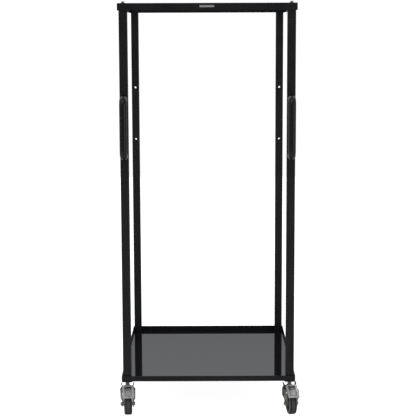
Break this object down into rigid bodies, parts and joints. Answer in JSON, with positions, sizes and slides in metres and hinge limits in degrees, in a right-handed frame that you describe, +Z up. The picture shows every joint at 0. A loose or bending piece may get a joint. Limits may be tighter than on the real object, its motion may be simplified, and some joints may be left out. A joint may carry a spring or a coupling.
{
  "type": "rolling storage rack",
  "caption": "Open rolling rack: four square uprights, angle-iron top and base frames, gloss base shelf, two bow handles and braked swivel castors.",
  "frame": {"origin": "On the floor under the centre of the frame, between the four castors.", "axes": "+Z up; the front, with the handles, faces -Y; +X to the right seen from the front."},
  "size_m": [0.657, 0.899, 1.4945],
  "materials": {
    "powder_coat": "black powder coat, fine orange-peel, satin",
    "plug_nylon": "black moulded nylon",
    "gloss_panel": "black high-gloss stove enamel",
    "zinc_fixings": "yellow-tinted bright zinc plate",
    "dark_steel": "dark oiled steel",
    "badge_metal": "satin silver, blank",
    "handle_gloss": "gloss black moulded plastic",
    "zinc_fork": "zinc-plated pressed steel",
    "sleeve_steel": "turned steel",
    "wheel_core": "grey moulded polypropylene",
    "tyre_rubber": "dark grey moulded rubber",
    "zinc_pedal": "zinc-plated pressed steel",
    "zinc_tongue": "bright zinc-plated steel"
  },
  "bodies": {
    "frame": {"upright_rear_left": "powder_coat", "upright_rear_right": "powder_coat", "upright_front_left": "powder_coat", "upright_front_right": "powder_coat", "top_plugs": "plug_nylon", "bottom_plugs": "plug_nylon", "top_rail_front": "powder_coat", "top_rail_rear": "powder_coat", "top_rail_left": "powder_coat", "top_rail_right": "powder_coat", "base_rail_front": "powder_coat", "base_rail_rear": "powder_coat", "base_rail_left": "powder_coat", "base_rail_right": "powder_coat", "corner_plates": "powder_coat", "shelf_panel": "gloss_panel", "top_screws": "zinc_fixings", "top_washers": "dark_steel", "blank_badge": "badge_metal", "handle_left": "handle_gloss", "handle_right": "handle_gloss", "handle_collars": "handle_gloss", "handle_bolts": "zinc_fixings", "handle_washers": "zinc_fixings", "castor_stems": "zinc_fixings", "swivel_caps": "dark_steel", "stem_nuts": "zinc_fixings"},
    "swivel_front_left": {"fork_front_left": "zinc_fork", "axle_front_left": "zinc_fixings", "sleeve_front_left": "sleeve_steel", "pedal_pin_front_left": "zinc_fixings"},
    "wheel_front_left": {"wheel_core_front_left": "wheel_core", "tyre_front_left": "tyre_rubber"},
    "pedal_front_left": {"brake_pedal_front_left": "zinc_pedal", "brake_shoe_front_left": "zinc_tongue"},
    "swivel_front_right": {"fork_front_right": "zinc_fork", "axle_front_right": "zinc_fixings", "sleeve_front_right": "sleeve_steel", "pedal_pin_front_right": "zinc_fixings"},
    "wheel_front_right": {"wheel_core_front_right": "wheel_core", "tyre_front_right": "tyre_rubber"},
    "pedal_front_right": {"brake_pedal_front_right": "zinc_pedal", "brake_shoe_front_right": "zinc_tongue"},
    "swivel_rear_left": {"fork_rear_left": "zinc_fork", "axle_rear_left": "zinc_fixings", "sleeve_rear_left": "sleeve_steel", "pedal_pin_rear_left": "zinc_fixings"},
    "wheel_rear_left": {"wheel_core_rear_left": "wheel_core", "tyre_rear_left": "tyre_rubber"},
    "pedal_rear_left": {"brake_pedal_rear_left": "zinc_pedal", "brake_shoe_rear_left": "zinc_tongue"},
    "swivel_rear_right": {"fork_rear_right": "zinc_fork", "axle_rear_right": "zinc_fixings", "sleeve_rear_right": "sleeve_steel", "pedal_pin_rear_right": "zinc_fixings"},
    "wheel_rear_right": {"wheel_core_rear_right": "wheel_core", "tyre_rear_right": "tyre_rubber"},
    "pedal_rear_right": {"brake_pedal_rear_right": "zinc_pedal", "brake_shoe_rear_right": "zinc_tongue"}
  },
  "joints": [
    {"name": "castor_swivel_front_left", "type": "hinge", "parent": "frame", "child": "swivel_front_left", "pos_m": [-0.2975, -0.371, 0.095], "axis": [0, 0, 1], "continuous": true},
    {"name": "wheel_spin_front_left", "type": "hinge", "parent": "swivel_front_left", "child": "wheel_front_left", "pos_m": [-0.29463, -0.40086, 0.04], "axis": [0.9954, 0.0958, 0], "continuous": true},
    {"name": "brake_press_front_left", "type": "hinge", "parent": "swivel_front_left", "child": "pedal_front_left", "pos_m": [-0.29712, -0.37498, 0.086], "axis": [0.9954, 0.0958, 0], "range_deg": [0, 10]},
    {"name": "castor_swivel_front_right", "type": "hinge", "parent": "frame", "child": "swivel_front_right", "pos_m": [0.2975, -0.371, 0.095], "axis": [0, 0, 1], "continuous": true},
    {"name": "wheel_spin_front_right", "type": "hinge", "parent": "swivel_front_right", "child": "wheel_front_right", "pos_m": [0.30245, -0.40059, 0.04], "axis": [0.9863, 0.165, 0], "continuous": true},
    {"name": "brake_press_front_right", "type": "hinge", "parent": "swivel_front_right", "child": "pedal_front_right", "pos_m": [0.29816, -0.37494, 0.086], "axis": [0.9863, 0.165, 0], "range_deg": [0, 10]},
    {"name": "castor_swivel_rear_left", "type": "hinge", "parent": "frame", "child": "swivel_rear_left", "pos_m": [-0.2975, 0.371, 0.095], "axis": [0, 0, 1], "continuous": true},
    {"name": "wheel_spin_rear_left", "type": "hinge", "parent": "swivel_rear_left", "child": "wheel_rear_left", "pos_m": [-0.2975, 0.401, 0.04], "axis": [-1, 0, 0], "continuous": true},
    {"name": "brake_press_rear_left", "type": "hinge", "parent": "swivel_rear_left", "child": "pedal_rear_left", "pos_m": [-0.2975, 0.375, 0.086], "axis": [-1, 0, 0], "range_deg": [0, 10]},
    {"name": "castor_swivel_rear_right", "type": "hinge", "parent": "frame", "child": "swivel_rear_right", "pos_m": [0.2975, 0.371, 0.095], "axis": [0, 0, 1], "continuous": true},
    {"name": "wheel_spin_rear_right", "type": "hinge", "parent": "swivel_rear_right", "child": "wheel_rear_right", "pos_m": [0.2975, 0.401, 0.04], "axis": [-1, 0, 0], "continuous": true},
    {"name": "brake_press_rear_right", "type": "hinge", "parent": "swivel_rear_right", "child": "pedal_rear_right", "pos_m": [0.2975, 0.375, 0.086], "axis": [-1, 0, 0], "range_deg": [0, 10]}
  ]
}
